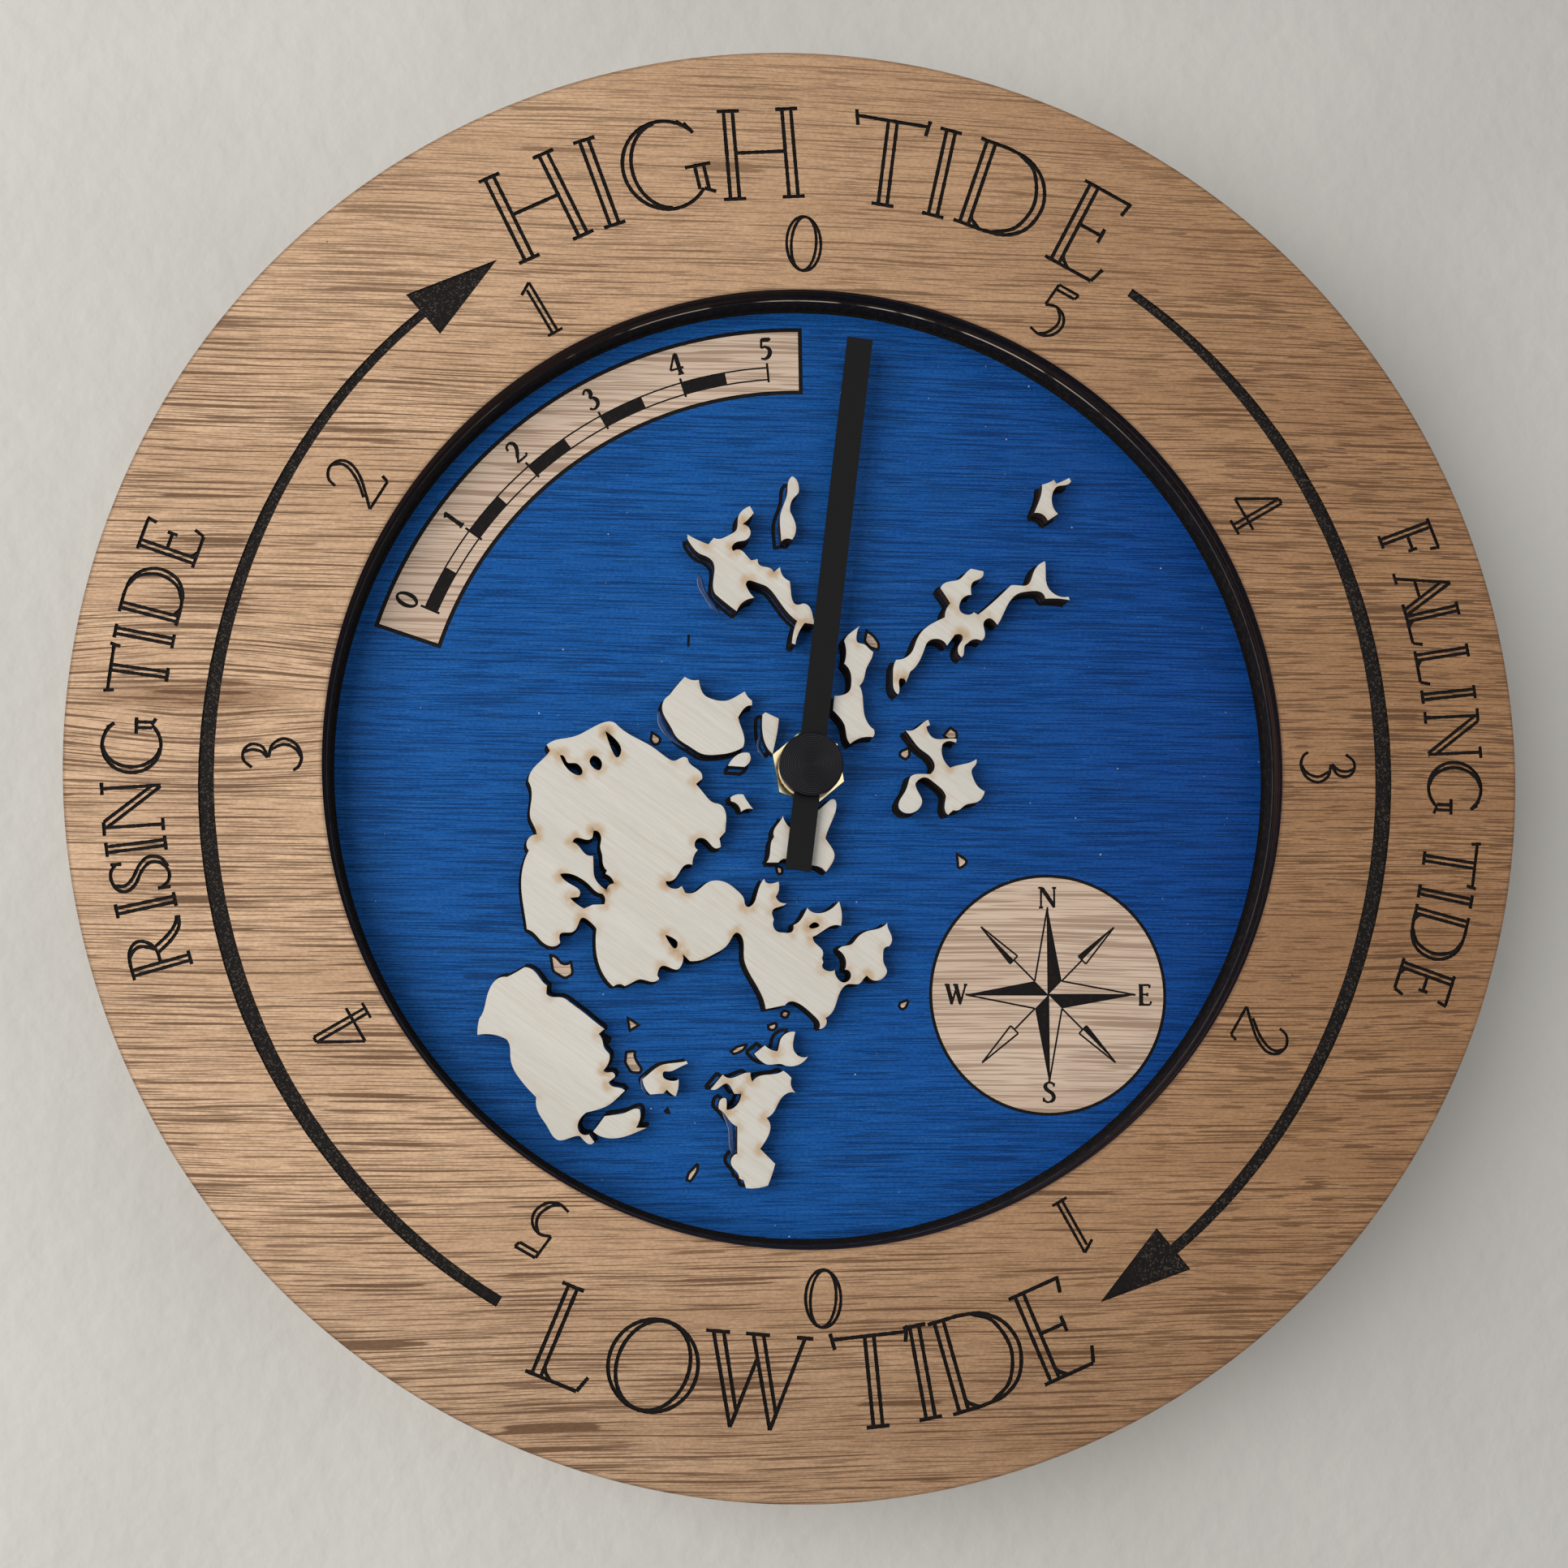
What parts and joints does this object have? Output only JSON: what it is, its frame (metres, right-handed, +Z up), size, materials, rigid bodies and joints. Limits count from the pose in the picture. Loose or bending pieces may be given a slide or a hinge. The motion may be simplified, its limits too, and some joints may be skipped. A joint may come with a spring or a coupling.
{
  "type": "tide clock",
  "caption": "Round wall-hung tide clock: an engraved wooden ring over a recessed dial board with a relief map, one long hand and a quartz tide movement behind.",
  "frame": {"origin": "centre of the hanger's hole, at the wall", "axes": "+Z up, +X to the right as seen from the front, +Y into the wall; the dial faces -Y"},
  "size_m": [0.3, 0.0305, 0.3],
  "materials": {
    "veneer_ply": "satin veneer",
    "painted_ply": "matte paint",
    "birch_ply": "bare, burnt edges",
    "black_metal": "matte black anodised",
    "brass": "polished",
    "rubber": "matte",
    "case_plastic": "fine texture",
    "wheel_plastic": "moulded",
    "steel": "plain",
    "copper": "enamelled wire",
    "circuit": "lacquered",
    "battery_jacket": "plain sleeve"
  },
  "bodies": {
    "clock": {"front_ring": "veneer_ply", "spacer_ring": "veneer_ply", "dial_board": "painted_ply", "main_island": "birch_ply", "west_island": "birch_ply", "shore_island": "birch_ply", "hook_island": "birch_ply", "winged_island": "birch_ply", "southern_island": "birch_ply", "round_island": "birch_ply", "narrow_island": "birch_ply", "leaf_island": "birch_ply", "bean_island": "birch_ply", "tail_island": "birch_ply", "slender_island": "birch_ply", "northwest_island": "birch_ply", "northeast_island": "birch_ply", "ridge_island": "birch_ply", "central_island": "birch_ply", "eastern_island": "birch_ply", "hex_nut": "brass", "threaded_bushing": "brass", "rubber_washer": "rubber", "movement_front_case": "case_plastic", "movement_rear_cover": "case_plastic", "hanger": "steel", "battery": "battery_jacket", "train_bridge": "case_plastic", "bridge_screws": "steel", "coil": "copper", "stator": "steel", "circuit_board": "circuit", "quartz_can": "steel", "positive_contact": "steel", "negative_contact": "steel"},
    "hand": {"tide_hand": "black_metal", "hand_bush": "brass", "hub_cap": "black_metal", "tide_wheel": "wheel_plastic"},
    "motion": {"motion_wheel": "wheel_plastic"},
    "setting": {"centre_arbor": "steel", "setting_knob": "case_plastic"},
    "centre": {"centre_wheel": "wheel_plastic"},
    "second": {"second_wheel": "wheel_plastic"},
    "first": {"first_wheel": "wheel_plastic"},
    "rotor": {"rotor": "steel"}
  },
  "joints": [
    {"name": "hand_turn", "type": "hinge", "parent": "clock", "child": "hand", "pos_m": [0, -0.02, -0.03], "axis": [0, 1, 0], "continuous": true},
    {"name": "motion_turn", "type": "hinge", "parent": "clock", "child": "motion", "pos_m": [0.01128, -0.011, -0.0259], "axis": [0, 1, 0], "continuous": true},
    {"name": "setting_turn", "type": "hinge", "parent": "clock", "child": "setting", "pos_m": [0, -0.005, -0.03], "axis": [0, 1, 0], "continuous": true},
    {"name": "rotor_turn", "type": "hinge", "parent": "clock", "child": "rotor", "pos_m": [-0.0183, -0.011, -0.01811], "axis": [0, 1, 0], "continuous": true},
    {"name": "first_turn", "type": "hinge", "parent": "clock", "child": "first", "pos_m": [-0.0176, -0.009, -0.02608], "axis": [0, 1, 0], "continuous": true},
    {"name": "second_turn", "type": "hinge", "parent": "clock", "child": "second", "pos_m": [-0.00858, -0.008, -0.0228], "axis": [0, 1, 0], "continuous": true},
    {"name": "centre_turn", "type": "hinge", "parent": "clock", "child": "centre", "pos_m": [0, -0.009, -0.03], "axis": [0, 1, 0], "continuous": true}
  ],
  "couplings": [
    {"joint": "motion_turn", "follows": "hand_turn", "ratio": -4},
    {"joint": "setting_turn", "follows": "hand_turn", "ratio": 12},
    {"joint": "first_turn", "follows": "rotor_turn", "ratio": -0.25},
    {"joint": "second_turn", "follows": "rotor_turn", "ratio": 0.05},
    {"joint": "centre_turn", "follows": "rotor_turn", "ratio": -0.0083333}
  ]
}
